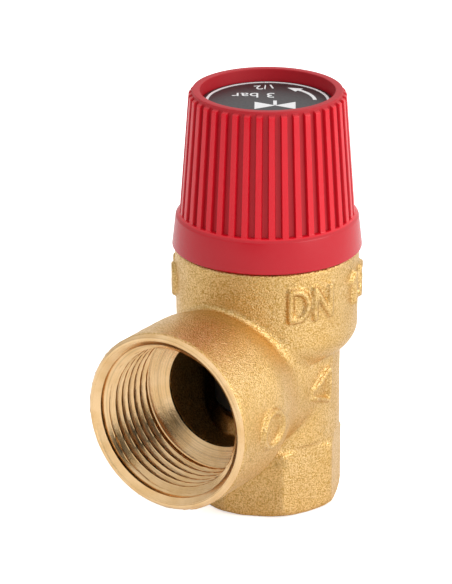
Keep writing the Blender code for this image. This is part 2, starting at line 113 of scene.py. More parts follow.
def edge_square(across, along, start, end):
    """Squared distance to a straight edge, from the nearest of its points."""
    ex, ey = end[0] - start[0], end[1] - start[1]
    px, py = across - start[0], along - start[1]
    share = np.clip((px * ex + py * ey) / (ex * ex + ey * ey), 0, 1)
    return (px - ex * share) ** 2 + (py - ey * share) ** 2


def outline_distance(across, along, corners):
    """Signed distance to a closed outline: least distance to its edges, negative inside it."""
    nearest = np.full(across.shape, 1e9, np.float32)
    inside = np.zeros(across.shape, bool)
    for (ax, ay), (bx, by) in zip(corners, corners[1:] + corners[:1]):
        nearest = np.minimum(nearest, edge_square(across, along, (ax, ay), (bx, by)))
        if by != ay:
            crossing = (bx - ax) * (along - ay) / (by - ay) + ax
            inside ^= ((ay > along) != (by > along)) & (across < crossing)
    return np.where(inside, -1, 1) * np.sqrt(nearest)


def joined(first, second, blend):
    """Union of two distance fields with a fillet about blend wide between them."""
    share = np.clip(0.5 + 0.5 * (second - first) / blend, 0, 1)
    return second + (first - second) * share - blend * share * (1 - share)


def common(first, second, blend):
    """Intersection of two distance fields with its edge rounded over about blend."""
    return -joined(-first, -second, blend)


def smooth_step(value):
    """0 below 0, 1 above 1 and a smooth S between."""
    value = np.clip(value, 0, 1)
    return value * value * (3 - 2 * value)


def arc(centre_x, centre_y, radius_x, radius_y, first, last, count=6, power=1.0):
    """Points on an elliptic arc, x = cos and y = sin raised to power with their signs kept."""
    turn = np.radians(np.linspace(first, last, count + 1))
    swing = [np.sign(part) * np.abs(part) ** power for part in (np.cos(turn), np.sin(turn))]
    return list(zip(centre_x + radius_x * swing[0], centre_y + radius_y * swing[1]))


collar_round = arc(NECK_R, COLLAR_FULL, COLLAR_R - NECK_R, COLLAR_FULL - COLLAR_FROM, 0, -90, 10,
                   COLLAR_FULLNESS)
foot_round = arc(FOOT_R - FOOT_EDGE, FOOT_EDGE, FOOT_EDGE, FOOT_EDGE, 0, -90, 8)
body_outline = ([(-FAR, BODY_TOP), (COLLAR_TOP_R, BODY_TOP)] + collar_round
                + [(NECK_R, FLATS_TOP - 0.3), (FOOT_R, FLATS_TOP - 1.0)] + foot_round + [(-FAR, 0.0)])
flare = [(BOSS_ROOT_R + (BOSS_R - BOSS_ROOT_R) * (0.5 - 0.5 * math.cos(math.pi * share)),
          FLARE_FROM + (FLARE_TO - FLARE_FROM) * share) for share in np.linspace(1, 0, 13)]
boss_outline = ([(-FAR, MOUTH - MOUTH_EDGE), (BOSS_R, MOUTH - MOUTH_EDGE)] + flare
                + [(BOSS_ROOT_R, -1.0), (-FAR, -1.0)])
chamber_outline = [(-FAR, FAR + BODY_TOP), (SOCKET_R, FAR + BODY_TOP), (SOCKET_R, LEDGE_Z),
                   (CHAMBER_UPPER_R, LEDGE_Z), (CHAMBER_UPPER_R, LEDGE_Z - 4),
                   (CHAMBER_R, LEDGE_Z - 5), (CHAMBER_R, CHAMBER_FLOOR + 1.2),
                   (CHAMBER_R - 1.2, CHAMBER_FLOOR), (-FAR, CHAMBER_FLOOR)]
passage_outline = [(-FAR, 2.0), (PASSAGE_R, 2.0), (PASSAGE_R, OUTLET_DEPTH_AT - 0.4),
                   (LINER_SEAT_R - 0.5, OUTLET_DEPTH_AT + 1.1),
                   (LINER_SEAT_R, OUTLET_DEPTH_AT + 1.4), (LINER_SEAT_R, FAR), (-FAR, FAR)]
nozzle_outline = [(-FAR, NOZZLE_TOP), (NOZZLE_TOP_R - 0.4, NOZZLE_TOP),
                  (NOZZLE_TOP_R, NOZZLE_TOP - 0.4), (NOZZLE_ROOT_R, CHAMBER_FLOOR),
                  (NOZZLE_ROOT_R, CHAMBER_FLOOR - 1), (-FAR, CHAMBER_FLOOR - 1)]
inlet_outline = [(-FAR, FAR), (7.0, FAR), (7.0, 10.9), (INLET_HOLLOW_R, 10.9),
                 (INLET_HOLLOW_R, 0.4), (INLET_HOLLOW_R + 0.6, 0.4), (INLET_HOLLOW_R + 0.6, -FAR),
                 (-FAR, -FAR)]

# Forged marks, as strokes in a box one wide and one high.
GLYPHS = {
    "D": [[(0, 0), (0, 1)] + arc(0.35, 0.5, 0.65, 0.5, 90, -90, 8) + [(0, 0)]],
    "N": [[(0, 0), (0, 1), (1, 0), (1, 1)]],
    "P": [[(0, 0), (0, 1)] + arc(0.55, 0.73, 0.42, 0.27, 90, -90, 6) + [(0, 0.46)]],
    "1": [[(0.12, 0.78), (0.5, 1), (0.5, 0)]],
    "5": [[(0.92, 1), (0.14, 1), (0.08, 0.56)] + arc(0.46, 0.32, 0.48, 0.32, 120, -140, 9)],
    "0": [arc(0.5, 0.5, 0.45, 0.5, 0, 360, 14)],
}
GLYPH_W, GLYPH_H, GLYPH_PITCH = 3.1, 5.0, 4.35
STROKE, ARROW_STROKE = 1.05, 0.85
MARK_HEIGHT = 0.7
MARK_EDGE = 0.28
MARK_BASE = 36.6  # height of the foot of the letters on the collar


def strokes_of(text, start, base):
    """Stroke lines of a text whose first letter's lower left corner is at (start, base)."""
    lines = []
    for index, letter in enumerate(text):
        for line in GLYPHS.get(letter, []):
            lines.append([(start + index * GLYPH_PITCH + x * GLYPH_W, base + y * GLYPH_H)
                          for x, y in line])
    return lines


def stroke_height(across, along, lines, width):
    """Height of raised strokes: MARK_HEIGHT on them, falling to 0 over MARK_EDGE at their sides."""
    nearest = np.full(across.shape, 1e9)
    for line in lines:
        for start, end in zip(line, line[1:]):
            nearest = np.minimum(nearest, edge_square(across, along, start, end))
    return MARK_HEIGHT * smooth_step(0.5 + (width / 2 - np.sqrt(nearest)) / MARK_EDGE / 2)


collar_marks = (strokes_of("DN 15", COLLAR_R * math.radians(46.5), MARK_BASE)
                + strokes_of("PN 10", COLLAR_R * math.radians(-124), MARK_BASE))
ARROW_TIP, ARROW_BACK = NECK_R * math.radians(60), NECK_R * math.radians(87.5)
arrow_marks = [[(ARROW_TIP, 21.9), (ARROW_BACK, 25.2), (ARROW_BACK, 19.5), (ARROW_TIP, 21.9)]]
boss_marks = [arc(22.4, -0.9, 3.0, 3.0, 0, 360, 20)]


def marks(x, y, z, radius, around_outlet):
    """Height of the forged marks over the skin: sizes on the collar, arrow on the neck, ring."""
    height = np.zeros(x.shape)
    turn = np.arctan2(x, -y)
    on_collar = (z > 35) & (z < 43.5) & (radius > 13) & (np.abs(turn) > math.radians(35))
    height[on_collar] = stroke_height(COLLAR_R * turn[on_collar], z[on_collar], collar_marks,
                                      STROKE)
    on_neck = (z > 18) & (z < 27) & (radius < 14) & (radius > 11) & (np.abs(turn - 1.3) < 0.6)
    height[on_neck] = stroke_height(NECK_R * turn[on_neck], z[on_neck], arrow_marks,
                                    ARROW_STROKE)
    on_boss = (y < -17) & (y > -28) & (x > 10) & (around_outlet > 13)
    angle = np.arctan2(z[on_boss] - OUTLET_Z, x[on_boss])
    height[on_boss] = stroke_height(-y[on_boss], BOSS_R * angle, boss_marks, STROKE)
    return height


rng = np.random.default_rng(11)
WAVES = [(rng.normal(size=3) * 2 * math.pi / wave, rng.uniform(0, 2 * math.pi))
         for wave in np.geomspace(2.5, 14, 14)]


def unevenness(x, y, z):
    """Low waves of a forged skin: a sum of plane sine waves 2.5 to 14 mm long, from -1 to 1."""
    total = sum(np.sin(k[0] * x + k[1] * y + k[2] * z + phase) for k, phase in WAVES)
    return total / math.sqrt(len(WAVES)) / 2


def casting_field(x, y, z):
    """Signed distance to the forging: turned body and boss joined by a fillet, less the hollows."""
    radius = np.hypot(x, y)
    around_outlet = np.hypot(x, z - OUTLET_Z)
    octagon = np.max([np.abs(x * math.cos(a) + y * math.sin(a))
                      for a in np.radians([22.5, 67.5, 112.5, 157.5])], axis=0) - FLATS_APOTHEM
    blank = outline_distance(radius, z, body_outline)
    body = common(blank, np.minimum(octagon, FLATS_TOP - z), FLATS_EDGE)
    boss = outline_distance(around_outlet, -y, boss_outline)
    fillet = FILLET_BELOW + FILLET_GROWTH * smooth_step((z - OUTLET_Z) / 6)
    skin = joined(body, boss, fillet)
    wave = unevenness(x, y, z)
    skin = skin - marks(x, y, z, radius, around_outlet) + SKIN_WAVE * wave
    chamber = outline_distance(radius, z, chamber_outline)
    passage = outline_distance(around_outlet, -y, passage_outline)
    nozzle = outline_distance(radius, z, nozzle_outline) + NOZZLE_WAVE * wave
    hollow = common(joined(chamber, passage, HOLLOW_EDGE), -nozzle, HOLLOW_EDGE)
    hollow = np.minimum(hollow, outline_distance(radius, z, inlet_outline))
    return np.maximum(skin, -hollow)


def field_skin(field, low, high, cell):
    """Surface nets: one point in each grid cell that the zero surface crosses, at the mean of its
    edge crossings, then moved along the gradient onto the surface; one quad for each crossed edge.
    """
    axes = [np.arange(a, b + cell, cell) for a, b in zip(low, high)]
    shape = [len(axis) for axis in axes]
    value = np.empty(shape, np.float32)
    for first in range(0, shape[0], 10):
        value[first:first + 10] = field(*np.meshgrid(axes[0][first:first + 10], axes[1], axes[2],
                                                     indexing="ij"))
    inside = value < 0
    corner = [(i, j, k) for i in (0, 1) for j in (0, 1) for k in (0, 1)]
    filled = sum(inside[i:shape[0] - 1 + i, j:shape[1] - 1 + j, k:shape[2] - 1 + k].astype(np.int8)
                 for i, j, k in corner)
    cells = np.argwhere((filled > 0) & (filled < 8))
    number = np.full(filled.shape, -1)
    number[tuple(cells.T)] = np.arange(len(cells))
    total, count = np.zeros((len(cells), 3)), np.zeros((len(cells), 1))
    for start in corner:
        for axis in range(3):
            if start[axis] == 0:
                step = np.eye(3, dtype=int)[axis]
                here = value[tuple((cells + start).T)]
                there = value[tuple((cells + start + step).T)]
                crossed = ((here < 0) != (there < 0))[:, None]
                share = (here / np.where(here == there, 1, here - there))[:, None]
                total += crossed * (np.array(start) + step * share)
                count += crossed
    points = (cells + total / count) * cell + [axis[0] for axis in axes]
    probe = 0.06
    for _ in range(3):
        at = field(*points.T)
        slope = np.stack([(field(*(points + offset).T) - field(*(points - offset).T)) / (2 * probe)
                          for offset in np.eye(3) * probe], axis=1)
        move = at[:, None] * slope / np.maximum((slope ** 2).sum(1, keepdims=True), 0.25)
        points -= np.clip(move, -0.3 * cell, 0.3 * cell)
    quads = []
    for axis in range(3):
        ahead = np.roll(inside, -1, axis)
        edge = np.argwhere(inside != ahead)
        edge = edge[edge[:, axis] < shape[axis] - 1]
        across, beyond = (np.eye(3, dtype=int)[(axis + turn) % 3] for turn in (1, 2))
        ring = np.stack([number[tuple((edge - across - beyond).T)],
                         number[tuple((edge - beyond).T)],
                         number[tuple(edge.T)], number[tuple((edge - across).T)]], axis=1)
        leaving = inside[tuple(edge.T)]
        quads.append(np.where(leaving[:, None], ring, ring[:, ::-1]))
    return points, np.concatenate(quads)


def put_mesh(name, points, faces, body, sharp=None):
    """A smooth-shaded piece from points in millimetres, riding on a body; sharp is in degrees."""
    mesh = bpy.data.meshes.new(name)
    mesh.from_pydata((np.asarray(points) * MM).tolist(), [], [list(map(int, f)) for f in faces])
    mesh.shade_smooth()
    if sharp:
        mesh.set_sharp_from_angle(angle=math.radians(sharp))
    piece = bpy.data.objects.new(name, mesh)
    bpy.context.scene.collection.objects.link(piece)
    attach(piece, body)
    return piece


def linear(colour):
    """A Blender colour from an sRGB hex one."""
    parts = np.array([int(colour[i:i + 2], 16) / 255 for i in (1, 3, 5)])
    parts = np.where(parts <= 0.04045, parts / 12.92, ((parts + 0.055) / 1.055) ** 2.4)
    return (*parts, 1.0)


def add_node(tree, kind, inputs, **settings):
    """Adds a node with its settings; each input is a value or the socket it is linked from."""
    made = tree.nodes.new("ShaderNode" + kind)
    for name, value in settings.items():
        setattr(made, name, value)
    for name, value in inputs.items():
        if isinstance(value, bpy.types.NodeSocket):
            tree.links.new(value, made.inputs[name])
        else:
            made.inputs[name].default_value = value
    return made


def new_finish(name, **constants):
    """A node material; constants are the shader's sockets that are the same all over."""
    made = bpy.data.materials.new(name)
    made.use_nodes = True
    tree = made.node_tree
    shader = tree.nodes["Principled BSDF"]
    for socket, value in constants.items():
        shader.inputs[socket.replace("_", " ")].default_value = value
    where = add_node(tree, "TexCoord", {}).outputs["Object"]
    return made, tree, shader, where


def forged_brass():
    """Shot-blasted forged brass: tan gold, matt from a fine grain of dents whose bottoms are darker
    and whose rims are polished, with wide faint stains.
    """
    made, tree, shader, where = new_finish("forged_brass_blasted", Metallic=1.0)
    grain = add_node(tree, "TexNoise", {"Vector": where, "Scale": 1 / (0.26 * MM), "Detail": 3.0,
                                        "Roughness": 0.6})
    dents = add_node(tree, "TexVoronoi", {"Vector": where, "Scale": 1 / (0.26 * MM)})
    blotch = add_node(tree, "TexNoise", {"Vector": where, "Scale": 1 / (6 * MM), "Detail": 4.0,
                                         "Roughness": 0.6})
    tone = add_node(tree, "MapRange", {"Value": blotch.outputs["Fac"], "From Min": 0.36,
                                       "From Max": 0.66})
    speck = add_node(tree, "MapRange", {"Value": grain.outputs["Fac"], "From Min": 0.40,
                                        "From Max": 0.57})
    colour = add_node(tree, "Mix", {0: tone.outputs["Result"], 6: linear("#E6BF80"),
                                    7: linear("#EECB92")}, data_type="RGBA")
    colour = add_node(tree, "Mix", {0: speck.outputs["Result"], 6: linear("#C19850"),
                                    7: colour.outputs[2]}, data_type="RGBA")
    patches = add_node(tree, "TexNoise", {"Vector": where, "Scale": 1 / (5 * MM), "Detail": 6.0,
                                          "Roughness": 0.7})
    stain = add_node(tree, "MapRange", {"Value": patches.outputs["Fac"], "From Min": 0.6,
                                        "From Max": 0.74, "To Max": 0.55})
    colour = add_node(tree, "Mix", {0: stain.outputs["Result"], 6: colour.outputs[2],
                                    7: linear("#8F7449")}, data_type="RGBA")
    tree.links.new(colour.outputs[2], shader.inputs["Base Color"])
    rough = add_node(tree, "MapRange", {"Value": speck.outputs["Result"], "To Min": 0.46,
                                        "To Max": 0.32})
    tree.links.new(rough.outputs["Result"], shader.inputs["Roughness"])
    height = add_node(tree, "Math", {0: grain.outputs["Fac"], 1: dents.outputs["Distance"]},
                      operation="ADD")
    bump = add_node(tree, "Bump", {"Height": height.outputs[0], "Strength": 1.0,
                                   "Distance": 0.075 * MM})
    tree.links.new(bump.outputs["Normal"], shader.inputs["Normal"])
    return made


points, quads = field_skin(casting_field, GRID_LOW, GRID_HIGH, CELL)
casting = put_mesh("body_casting", points, quads, "valve")
casting.data.materials.append(forged_brass())
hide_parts("valve_body")


# ------------------------------------------------------------------------------------------------
# The outlet, cut into the forging on a lathe: outer chamfer, narrow face, lead-in, a 3/4 inch
# internal pipe thread with its undercut, and the cone of the drill. Bright, with turning lines.
# ------------------------------------------------------------------------------------------------
PITCH = 25.4 / 14  # both threads have 14 turns to the inch
OUTLET_CREST_R = 24.117 / 2
OUTLET_ROOT_R = 26.441 / 2
LEAD_IN_R = 13.26
LEAD_IN_END = MOUTH - 1.8
CHAMFER_R = 14.16
UNDERCUT_FROM, UNDERCUT_TO = 17.2, 18.9
UNDERCUT_R = 13.05
EMBEDDED_R = 13.9  # the piece's back, inside the forging
TURN_STEPS = 288
THREAD_PHASE = 0.1
CREST_FLAT, FLANK_SHARE = 0.2, 0.72  # shares of half the pitch; the rest is the root's flat


def thread_depth(along, turn, phase):
    """Share of the thread's depth, 0 on the crest and 1 at the root: a helical V with straight
    flanks and narrow flats, further along the axis by one pitch for each turn.
    """
    wave = (along / PITCH - turn / (2 * math.pi) + phase) % 1.0
    ramp = 1 - 2 * np.abs(wave - 0.5)  # 0 between turns, 1 in the middle of the groove
    return np.clip((ramp - CREST_FLAT) / FLANK_SHARE, 0, 1)


def eased(corners, edge, points=3):
    """An outline whose corners are short parabolic arcs starting edge before and after each."""
    corners = np.array(corners, float)
    before, after = np.roll(corners, 1, axis=0) - corners, np.roll(corners, -1, axis=0) - corners
    long = [np.linalg.norm(side, axis=1, keepdims=True) for side in (before, after)]
    share = np.linspace(0, 1, points + 1)[None, :, None]
    start = corners + before * np.minimum(edge / long[0], 0.42)
    end = corners + after * np.minimum(edge / long[1], 0.42)
    middle = (((1 - share) ** 2) * start[:, None] + 2 * share * (1 - share) * corners[:, None]
              + share ** 2 * end[:, None])
    return middle.reshape(-1, 2)


def ring_skin(radius, along, turn, across, up, axis, origin):
    """A closed ring: point = origin + radius (cos turn across + sin turn up) + along axis, with
    rows round the section and columns round the axis; faces point outwards.
    """
    rows, columns = radius.shape
    across, up, axis = (np.array(side, float) for side in (across, up, axis))
    points = (origin + radius[..., None] * (np.cos(turn)[..., None] * across
                                            + np.sin(turn)[..., None] * up)
              + along[..., None] * axis).reshape(-1, 3)
    row, column = np.mgrid[0:rows, 0:columns]
    next_row, next_column = (row + 1) % rows, (column + 1) % columns
    quads = np.stack([row * columns + column, next_row * columns + column,
                      next_row * columns + next_column, row * columns + next_column], axis=-1)
    quads = quads.reshape(-1, 4)
    a, b, c = (points[quads[:, i]] for i in (0, 1, 2))
    if np.einsum("ij,ij->", a, np.cross(b, c)) < 0:
        quads = quads[:, ::-1]
    return points, quads


def bore_skin(inner, cut, back, phase, across, up, axis, origin):
    """A machined bore: the inner outline (radius, along), where cut says the threaded stretch and
    its crest and root radii, closed by the outline of its back inside the forging.
    """
    low, high, crest, root = cut
    rows = np.array(inner)
    threaded = (rows[:, 1] >= low) & (rows[:, 1] <= high)
    rows = np.concatenate([rows, eased(back, 0.05, 1)])
    threaded = np.concatenate([threaded, np.zeros(len(rows) - len(threaded), bool)])
    turn = np.linspace(0, 2 * math.pi, TURN_STEPS, endpoint=False)
    turns, radius = np.meshgrid(turn, rows[:, 0])
    along = np.repeat(rows[:, 1:], TURN_STEPS, axis=1)
    helix = crest + (root - crest) * thread_depth(along, turns, phase)
    radius = np.where(threaded[:, None], np.maximum(radius, helix), radius)
    return ring_skin(radius, along, turns, across, up, axis, origin)


def machined_brass(name, axis, centre):
    """Turned brass: bright, with fine rings where the tool passed, along and round its axis."""
    made, tree, shader, where = new_finish(name, Metallic=1.0, Anisotropic=0.3)
    place = add_node(tree, "VectorMath", {0: where, 1: [c * MM for c in centre]},
                     operation="SUBTRACT")
    parts = add_node(tree, "SeparateXYZ", {0: place.outputs[0]})
    square = [add_node(tree, "Math", {0: parts.outputs[side], 1: 2.0}, operation="POWER")
              for side in "XYZ" if side != axis]
    total = add_node(tree, "Math", {0: square[0].outputs[0], 1: square[1].outputs[0]},
                     operation="ADD")
    radius = add_node(tree, "Math", {0: total.outputs[0]}, operation="SQRT")
    line = add_node(tree, "Math", {0: parts.outputs[axis], 1: radius.outputs[0]},
                    operation="ADD")
    tool = add_node(tree, "TexNoise", {"W": line.outputs[0], "Scale": 1 / (0.16 * MM),
                                       "Detail": 2.0}, noise_dimensions="1D")
    band = add_node(tree, "TexNoise", {"W": line.outputs[0], "Scale": 1 / (1.1 * MM),
                                       "Detail": 2.0}, noise_dimensions="1D")
    stain = add_node(tree, "TexNoise", {"Vector": where, "Scale": 1 / (3.0 * MM), "Detail": 3.0})
    tone = add_node(tree, "MapRange", {"Value": stain.outputs["Fac"], "From Min": 0.35,
                                       "From Max": 0.7})
    colour = add_node(tree, "Mix", {0: tone.outputs["Result"], 6: linear("#F3CE9C"),
                                    7: linear("#E6BC83")}, data_type="RGBA")
    scored = add_node(tree, "MapRange", {"Value": tool.outputs["Fac"], "From Min": 0.34,
                                         "From Max": 0.48, "To Min": 0.82, "To Max": 1.0})
    colour = add_node(tree, "Mix", {0: 1.0, 6: colour.outputs[2], 7: scored.outputs["Result"]},
                      data_type="RGBA", blend_type="MULTIPLY")
    tree.links.new(colour.outputs[2], shader.inputs["Base Color"])
    rough = add_node(tree, "MapRange", {"Value": band.outputs["Fac"], "From Min": 0.3,
                                        "From Max": 0.7, "To Min": 0.16, "To Max": 0.3})
    tree.links.new(rough.outputs["Result"], shader.inputs["Roughness"])
    nicks = add_node(tree, "TexNoise", {"Vector": where, "Scale": 1 / (0.7 * MM), "Detail": 4.0,
                                        "Roughness": 0.7})
    worn = add_node(tree, "Bump", {"Height": nicks.outputs["Fac"], "Strength": 0.5,
                                   "Distance": 0.05 * MM})
    bump = add_node(tree, "Bump", {"Height": tool.outputs["Fac"], "Strength": 0.4,
                                   "Distance": 0.02 * MM, "Normal": worn.outputs["Normal"]})
    tree.links.new(bump.outputs["Normal"], shader.inputs["Normal"])
    return made


FLANK = 0.62  # the lead-in's cone runs this far along for each millimetre that it narrows
FACE_STEP = 0.09  # the face is cut back by this much round the chamfer
thread_from = LEAD_IN_END - FLANK * (LEAD_IN_R - OUTLET_CREST_R)
thread_rows = [(OUTLET_CREST_R, along) for along in np.arange(thread_from, UNDERCUT_TO,
                                                              -PITCH / 30)]
cone_rows = [(LEAD_IN_R - (LEAD_IN_END - along) / FLANK, along)
             for along in np.linspace(LEAD_IN_END, thread_from, 14, endpoint=False)]
mouth = eased([(BOSS_R - 0.35, MOUTH - 1.4), (BOSS_R - 0.08, MOUTH - MOUTH_EDGE + 0.02),
               (BOSS_R - MOUTH_EDGE, MOUTH), (CHAMFER_R + 0.14, MOUTH),
               (CHAMFER_R + 0.1, MOUTH - FACE_STEP), (CHAMFER_R, MOUTH - FACE_STEP),
               (LEAD_IN_R, MOUTH - (CHAMFER_R - LEAD_IN_R)), (LEAD_IN_R, LEAD_IN_END)], 0.06, 3)
undercut = [(UNDERCUT_R - 0.1, UNDERCUT_TO), (UNDERCUT_R, UNDERCUT_TO - 0.15),
            (UNDERCUT_R, UNDERCUT_FROM + 0.45), (UNDERCUT_R - 0.03, UNDERCUT_FROM + 0.2),
            (UNDERCUT_R - 0.14, UNDERCUT_FROM + 0.04)]
cone_end = [(PASSAGE_R + (UNDERCUT_R - 0.3 - PASSAGE_R) * share,
             OUTLET_DEPTH_AT + (UNDERCUT_FROM - 0.06 - OUTLET_DEPTH_AT) * share)
            for share in np.linspace(1, 0, 9)]
back = [(PASSAGE_R + 0.02, OUTLET_DEPTH_AT - 0.6), (PASSAGE_R + 0.8, OUTLET_DEPTH_AT - 0.7),
        (EMBEDDED_R, UNDERCUT_FROM - 0.8), (EMBEDDED_R, MOUTH - 1.5)]
points, quads = bore_skin(list(map(tuple, mouth)) + cone_rows + thread_rows + undercut + cone_end,
                          (UNDERCUT_TO, LEAD_IN_END, OUTLET_CREST_R, OUTLET_ROOT_R), back,
                          THREAD_PHASE, (1, 0, 0), (0, 0, 1), (0, -1, 0), (0, 0, OUTLET_Z))
outlet = put_mesh("outlet_machining", points, quads, "valve", 50)
outlet.data.materials.append(machined_brass("turned_brass_outlet", "Y", (0, 0, OUTLET_Z)))
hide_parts("valve_body")


# ------------------------------------------------------------------------------------------------
# The inlet, cut from below in the same way: end face, chamfer, a 1/2 inch internal thread, and the
# seat bore with the narrow raised lip that the rubber disc closes on.
# ------------------------------------------------------------------------------------------------
INLET_CREST_R = 18.631 / 2
INLET_ROOT_R = 20.955 / 2
INLET_DEPTH = 10.2
THREAD_TOP = 8.6
SEAT_BORE_R = 6.5
SEAT_LIP_R = 7.4
SEAT_Z = 16.0
END_FACE_R = 11.42

end_face = [(END_FACE_R, 0.5), (END_FACE_R, 0.06), (END_FACE_R - 0.06, 0.0),
            (INLET_ROOT_R + 0.1, 0.0), (INLET_ROOT_R + 0.02, 0.04)]
entry = [(INLET_ROOT_R - (along - 0.1), along) for along in np.linspace(0.1, 1.2, 12)]
thread_rows = [(INLET_CREST_R, along) for along in np.arange(1.3, THREAD_TOP, PITCH / 14)]
seat = [(INLET_CREST_R, THREAD_TOP + 0.02), (INLET_CREST_R, INLET_DEPTH),
        (INLET_CREST_R - 0.1, INLET_DEPTH + 0.05), (SEAT_BORE_R + 0.3, INLET_DEPTH + 0.6),
        (SEAT_BORE_R + 0.05, INLET_DEPTH + 0.75), (SEAT_BORE_R, INLET_DEPTH + 1.0),
        (SEAT_BORE_R, SEAT_Z - 0.12), (SEAT_BORE_R + 0.12, SEAT_Z), (SEAT_LIP_R - 0.3, SEAT_Z),
        (SEAT_LIP_R, SEAT_Z - 0.3)]
back = [(SEAT_LIP_R, INLET_DEPTH + 1.4), (11.1, INLET_DEPTH + 1.0), (11.1, 0.6)]
points, quads = bore_skin(end_face + entry + thread_rows + seat,
                          (0.1, THREAD_TOP, INLET_CREST_R, INLET_ROOT_R), back, 0.0,
                          (1, 0, 0), (0, 1, 0), (0, 0, 1), (0, 0, 0))
inlet = put_mesh("inlet_machining", points, quads, "valve", 50)
inlet.data.materials.append(machined_brass("turned_brass_inlet", "Z", (0, 0, 0)))
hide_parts("valve_body")


# ------------------------------------------------------------------------------------------------
# The pieces inside: disc holder, rubber disc, plates, washers, nuts and spindle, which are turned
# brass, bright steel, moulded rubber and glass-filled nylon, as imported from model.glb.
# ------------------------------------------------------------------------------------------------
def moulded(name, colour, rough, grain, height, sheen=0.0):
    """Moulded rubber or nylon: dark and matt, with the fine pebble of its mould."""
    made, tree, shader, where = new_finish(name, Metallic=0.0, IOR=1.5, Sheen_Weight=sheen)
    pebble = add_node(tree, "TexNoise", {"Vector": where, "Scale": 1 / (grain * MM),
                                         "Detail": 3.0})
    shift = add_node(tree, "TexNoise", {"Vector": where, "Scale": 1 / (5 * MM), "Detail": 2.0})
    tint = add_node(tree, "Mix", {0: shift.outputs["Fac"], 6: linear(colour),
                                  7: linear("#2A2A2B")}, data_type="RGBA")
    tree.links.new(tint.outputs[2], shader.inputs["Base Color"])
    dull = add_node(tree, "MapRange", {"Value": pebble.outputs["Fac"], "To Min": rough - 0.08,
                                       "To Max": rough + 0.08})
    tree.links.new(dull.outputs["Result"], shader.inputs["Roughness"])
    bump = add_node(tree, "Bump", {"Height": pebble.outputs["Fac"], "Strength": 0.4,
                                   "Distance": height * MM})
    tree.links.new(bump.outputs["Normal"], shader.inputs["Normal"])
    return made


def bright_steel():
    """Drawn and stamped steel: grey metal with fine scratches in many directions."""
    made, tree, shader, where = new_finish("bright_steel", Metallic=1.0)
    scratch = add_node(tree, "TexNoise", {"Vector": where, "Scale": 1 / (0.5 * MM), "Detail": 4.0,
                                          "Distortion": 1.5})
    tint = add_node(tree, "Mix", {0: scratch.outputs["Fac"], 6: linear("#A9ABAD"),
                                  7: linear("#C9CACB")}, data_type="RGBA")
    tree.links.new(tint.outputs[2], shader.inputs["Base Color"])
    rough = add_node(tree, "MapRange", {"Value": scratch.outputs["Fac"], "To Min": 0.18,
                                        "To Max": 0.38})
    tree.links.new(rough.outputs["Result"], shader.inputs["Roughness"])
    return made


nylon = moulded("glass_filled_nylon", "#151516", 0.55, 0.3, 0.02)
rubber = moulded("moulded_rubber", "#1B1B1B", 0.7, 0.5, 0.02, 0.1)
steel = bright_steel()
turned_parts = machined_brass("turned_brass_parts", "Z", (0, 0, 0))
inner_finish = {
    nylon: ["bonnet", "disc_holder"],
    rubber: ["diaphragm", "seal_disc"],
    steel: ["slip_ring", "seal_screw", "lock_washer", "lift_washer"],
    turned_parts: ["diaphragm_plate", "seal_washer", "spindle", "lower_spring_plate",
                   "spindle_nut", "upper_spring_plate", "adjusting_screw", "lift_nut"],
}
for finish, nodes in inner_finish.items():
    for name in nodes:
        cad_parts[name].data.materials.clear()
        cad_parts[name].data.materials.append(finish)


# ------------------------------------------------------------------------------------------------
# The spring: 2 mm steel wire wound five and a half turns, its end coils closed. It rides on the
# valve's body and keeps its length; in the real valve it bears on the body above and is squeezed
# from below as the spindle lifts.
# ------------------------------------------------------------------------------------------------
SPRING_R = 7.4
WIRE_R = 1.0
SPRING_TURNS = 5.5
SPRING_LOW, SPRING_HIGH = 40.8, 56.0
COIL_STEPS = 40
WIRE_STEPS = 14
END_CLOSING = 0.2  # how much slower the wire climbs at its ends, where the coils lie closed

share, section = np.meshgrid(np.linspace(0, 1, int(SPRING_TURNS * COIL_STEPS)),
                             np.linspace(0, 2 * math.pi, WIRE_STEPS, endpoint=False),
                             indexing="ij")
turn = share * SPRING_TURNS * 2 * math.pi
rise = share - np.sin(2 * math.pi * share) * END_CLOSING / (2 * math.pi)
out = SPRING_R + WIRE_R * np.cos(section)
points = np.stack([out * np.cos(turn), out * np.sin(turn),
                   SPRING_LOW + WIRE_R + (SPRING_HIGH - SPRING_LOW - 2 * WIRE_R) * rise
                   + WIRE_R * np.sin(section)], axis=-1).reshape(-1, 3)
row, column = np.mgrid[0:share.shape[0] - 1, 0:WIRE_STEPS]
after = (column + 1) % WIRE_STEPS
quads = np.stack([row * WIRE_STEPS + column, (row + 1) * WIRE_STEPS + column,
                  (row + 1) * WIRE_STEPS + after, row * WIRE_STEPS + after], axis=-1)
last = (share.shape[0] - 1) * WIRE_STEPS
ends = [list(range(WIRE_STEPS)), [last + i for i in reversed(range(WIRE_STEPS))]]
spring = put_mesh("coil_spring", points, list(quads.reshape(-1, 4)) + ends, "valve", 60)
spring.data.materials.append(steel)
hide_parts("spring")
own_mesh(spring)


# ------------------------------------------------------------------------------------------------
# The test cap: red ABS, injection moulded in one shot. Forty ribs for the fingers lean inwards,
# a smooth flange hides the bonnet's thread, and a shallow recess in the top holds the label.
# ------------------------------------------------------------------------------------------------
cap_low, cap_high = (Vector(corner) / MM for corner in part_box("cap"))
CAP_TOP = cap_high.z
FLANGE_Z = cap_low.z
FLANGE_R = 16.0
FLANGE_TOP_R = 15.4
FLANGE_TOP = 50.3
LEDGE_TOP = 50.9
GROOVE_R_LOW, GROOVE_R_HIGH = 14.05, 12.55
GRIP_TOP = 71.3
RIBS = 40
RIB_HEIGHT = 0.65
RIB_PHASE = math.radians(-0.9)
RIB_FOOT, RIB_SIDE = 0.296, 0.074  # half a rib's width and its side's, as shares of its period
RIM_R = 12.6
RECESS_R = 11.3
RECESS_FLOOR = 69.4
DECK_LOW = 68.3
CAP_WALL = 1.5
SKIRT_IN_R = 13.6
